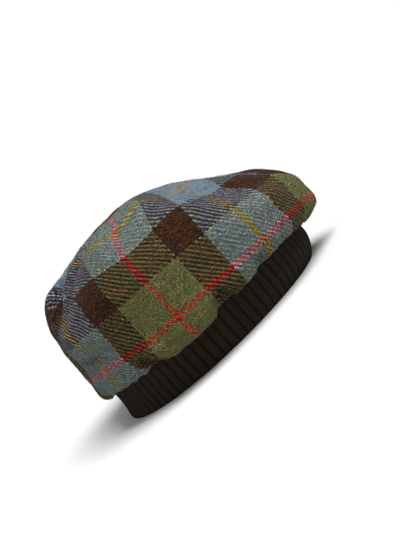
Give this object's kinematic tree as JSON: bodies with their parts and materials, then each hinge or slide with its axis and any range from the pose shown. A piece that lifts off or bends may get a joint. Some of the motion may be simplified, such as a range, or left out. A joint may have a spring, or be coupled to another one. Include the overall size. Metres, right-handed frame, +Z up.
{
  "type": "tweed beret",
  "caption": "Soft beret of check tweed: two half crowns joined by a seam from front to back and gathered into a ribbed knitted headband.",
  "frame": {"origin": "centre of the head opening, on the plane that the band's rim rests on", "axes": "+X to the front of the hat, +Y to the wearer's left, +Z up through the top of the crown"},
  "size_m": [0.2417, 0.212, 0.1369],
  "materials": {
    "tweed": "woolly check tweed in green, brown and blue with red and yellow lines",
    "knit": "dark brown ribbed knit"
  },
  "bodies": {
    "root": {"crown_right": "tweed", "crown_left": "tweed", "rib_band": "knit"}
  },
  "joints": []
}
